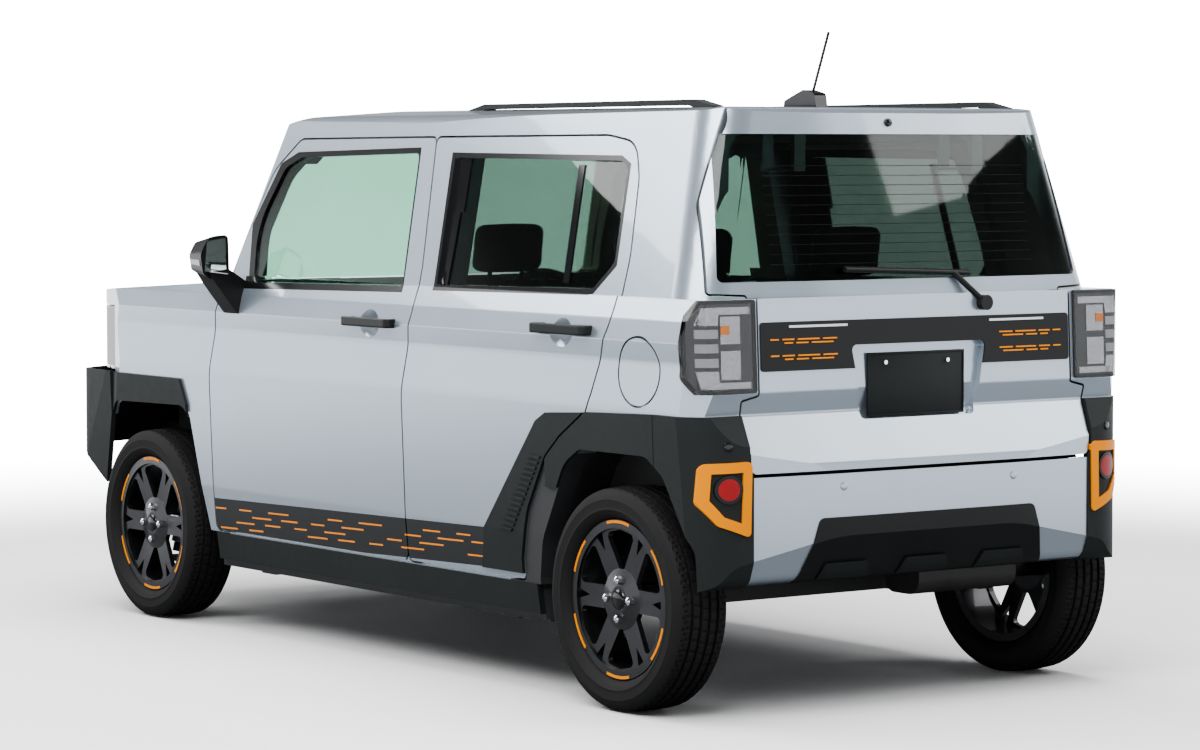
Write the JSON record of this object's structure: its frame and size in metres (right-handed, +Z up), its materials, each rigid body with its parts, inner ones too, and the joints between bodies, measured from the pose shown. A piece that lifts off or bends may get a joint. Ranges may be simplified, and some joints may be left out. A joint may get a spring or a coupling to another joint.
{
  "type": "kei car",
  "caption": "Boxy crossover kei car with opening side doors, bonnet, tailgate and fuel lid, steering front wheels, roof rails and clad wheel arches.",
  "frame": {"origin": "on the ground under the middle of the car's outline", "axes": "+Z up, -Y forwards, +X towards the car's left side"},
  "size_m": [1.6972, 3.399, 1.7555],
  "materials": {
    "accent_orange": "orange lacquer",
    "alloy": "gunmetal painted alloy",
    "body_paint": "pearl silver-white paint",
    "cabin_plastic": "soft grained trim",
    "cast": "raw casting",
    "clad_plastic": "grained charcoal plastic",
    "clear_glass": "clear safety glass",
    "gloss_black": "polished black plastic",
    "head_lens": "clear lamp lens",
    "lamp_lens": "moulded lamp lens",
    "red_lens": "red lamp lens",
    "seat_cloth": "woven seat cloth",
    "steel": "bare steel",
    "tinted_glass": "tinted safety glass",
    "tyre_rubber": "road tyre rubber",
    "under_metal": "black chassis paint"
  },
  "bodies": {
    "body": {"aerial": "gloss_black", "arch_flares": "clad_plastic", "bulkhead": "under_metal", "dashboard": "cabin_plastic", "engine": "cast", "exhaust": "steel", "floor_pan": "under_metal", "front_bumper": "clad_plastic", "front_fender_left": "body_paint", "front_fender_right": "body_paint", "front_grille": "gloss_black", "front_seats": "seat_cloth", "front_subframe": "under_metal", "headlamps": "head_lens", "rear_axle": "under_metal", "rear_bumper": "body_paint", "rear_bumper_insert": "gloss_black", "rear_corner_cladding": "clad_plastic", "rear_fog_lamps": "red_lens", "rear_lamp_frames": "accent_orange", "rear_seats": "seat_cloth", "roof_panel": "body_paint", "roof_rails": "clad_plastic", "side_frame_left": "body_paint", "side_frame_right": "body_paint", "sill_covers": "clad_plastic", "tail_lamps": "lamp_lens", "windscreen": "clear_glass"},
    "front_door_left": {"front_door_left": "body_paint", "front_door_glass_left": "clear_glass", "front_door_fittings_left": "gloss_black"},
    "front_door_right": {"front_door_right": "body_paint", "front_door_glass_right": "clear_glass", "front_door_fittings_right": "gloss_black"},
    "rear_door_left": {"rear_door_left": "body_paint", "rear_door_glass_left": "tinted_glass", "rear_door_fittings_left": "clad_plastic"},
    "rear_door_right": {"rear_door_right": "body_paint", "rear_door_glass_right": "tinted_glass", "rear_door_fittings_right": "clad_plastic"},
    "tailgate": {"tailgate": "body_paint", "tailgate_glass": "tinted_glass", "tailgate_garnish": "gloss_black", "rear_wiper": "gloss_black"},
    "bonnet": {"bonnet": "body_paint"},
    "fuel_lid": {"fuel_lid": "body_paint"},
    "steering_wheel": {"steering_wheel": "cabin_plastic"},
    "knuckle_left": {"front_knuckle_left": "cast"},
    "knuckle_right": {"front_knuckle_right": "cast"},
    "wheel_front_left": {"tyre_front_left": "tyre_rubber", "rim_front_left": "alloy"},
    "wheel_front_right": {"tyre_front_right": "tyre_rubber", "rim_front_right": "alloy"},
    "wheel_rear_left": {"tyre_rear_left": "tyre_rubber", "rim_rear_left": "alloy"},
    "wheel_rear_right": {"tyre_rear_right": "tyre_rubber", "rim_rear_right": "alloy"}
  },
  "joints": [
    {"name": "steer_left", "type": "hinge", "parent": "body", "child": "knuckle_left", "pos_m": [0.618, -1.155, 0.212], "axis": [-0.2272, 0, 0.9738], "range_deg": [-34, 34]},
    {"name": "steer_right", "type": "hinge", "parent": "body", "child": "knuckle_right", "pos_m": [-0.618, -1.155, 0.212], "axis": [0.2272, 0, 0.9738], "range_deg": [-34, 34]},
    {"name": "steering_turn", "type": "hinge", "parent": "body", "child": "steering_wheel", "pos_m": [-0.3, -0.43, 0.9], "axis": [0, 0.9207, 0.3903], "range_deg": [-520, 520]},
    {"name": "spin_front_left", "type": "hinge", "parent": "knuckle_left", "child": "wheel_front_left", "pos_m": [0.65, -1.155, 0.29], "axis": [1, 0, 0], "continuous": true},
    {"name": "spin_front_right", "type": "hinge", "parent": "knuckle_right", "child": "wheel_front_right", "pos_m": [-0.65, -1.155, 0.29], "axis": [1, 0, 0], "continuous": true},
    {"name": "spin_rear_left", "type": "hinge", "parent": "body", "child": "wheel_rear_left", "pos_m": [0.65, 1.305, 0.29], "axis": [1, 0, 0], "continuous": true},
    {"name": "spin_rear_right", "type": "hinge", "parent": "body", "child": "wheel_rear_right", "pos_m": [-0.65, 1.305, 0.29], "axis": [1, 0, 0], "continuous": true},
    {"name": "open_front_left", "type": "hinge", "parent": "body", "child": "front_door_left", "pos_m": [0.696, -0.812, 0.6], "axis": [0, 0, -1], "range_deg": [0, 65]},
    {"name": "open_front_right", "type": "hinge", "parent": "body", "child": "front_door_right", "pos_m": [-0.696, -0.812, 0.6], "axis": [0, 0, 1], "range_deg": [0, 65]},
    {"name": "open_rear_left", "type": "hinge", "parent": "body", "child": "rear_door_left", "pos_m": [0.697, 0.252, 0.6], "axis": [0, 0, -1], "range_deg": [0, 65]},
    {"name": "open_rear_right", "type": "hinge", "parent": "body", "child": "rear_door_right", "pos_m": [-0.697, 0.252, 0.6], "axis": [0, 0, 1], "range_deg": [0, 65]},
    {"name": "open_tailgate", "type": "hinge", "parent": "body", "child": "tailgate", "pos_m": [0, 1.392, 1.5], "axis": [1, 0, 0], "range_deg": [0, 75]},
    {"name": "open_bonnet", "type": "hinge", "parent": "body", "child": "bonnet", "pos_m": [0, -0.806, 1.015], "axis": [-1, 0, 0], "range_deg": [0, 50]},
    {"name": "open_fuel_lid", "type": "hinge", "parent": "body", "child": "fuel_lid", "pos_m": [0.7043, 1.3004, 0.88], "axis": [0, 0, -1], "range_deg": [0, 90]}
  ],
  "couplings": [
    {"joint": "steer_right", "follows": "steer_left", "ratio": 1},
    {"joint": "steering_turn", "follows": "steer_left", "ratio": 15}
  ]
}
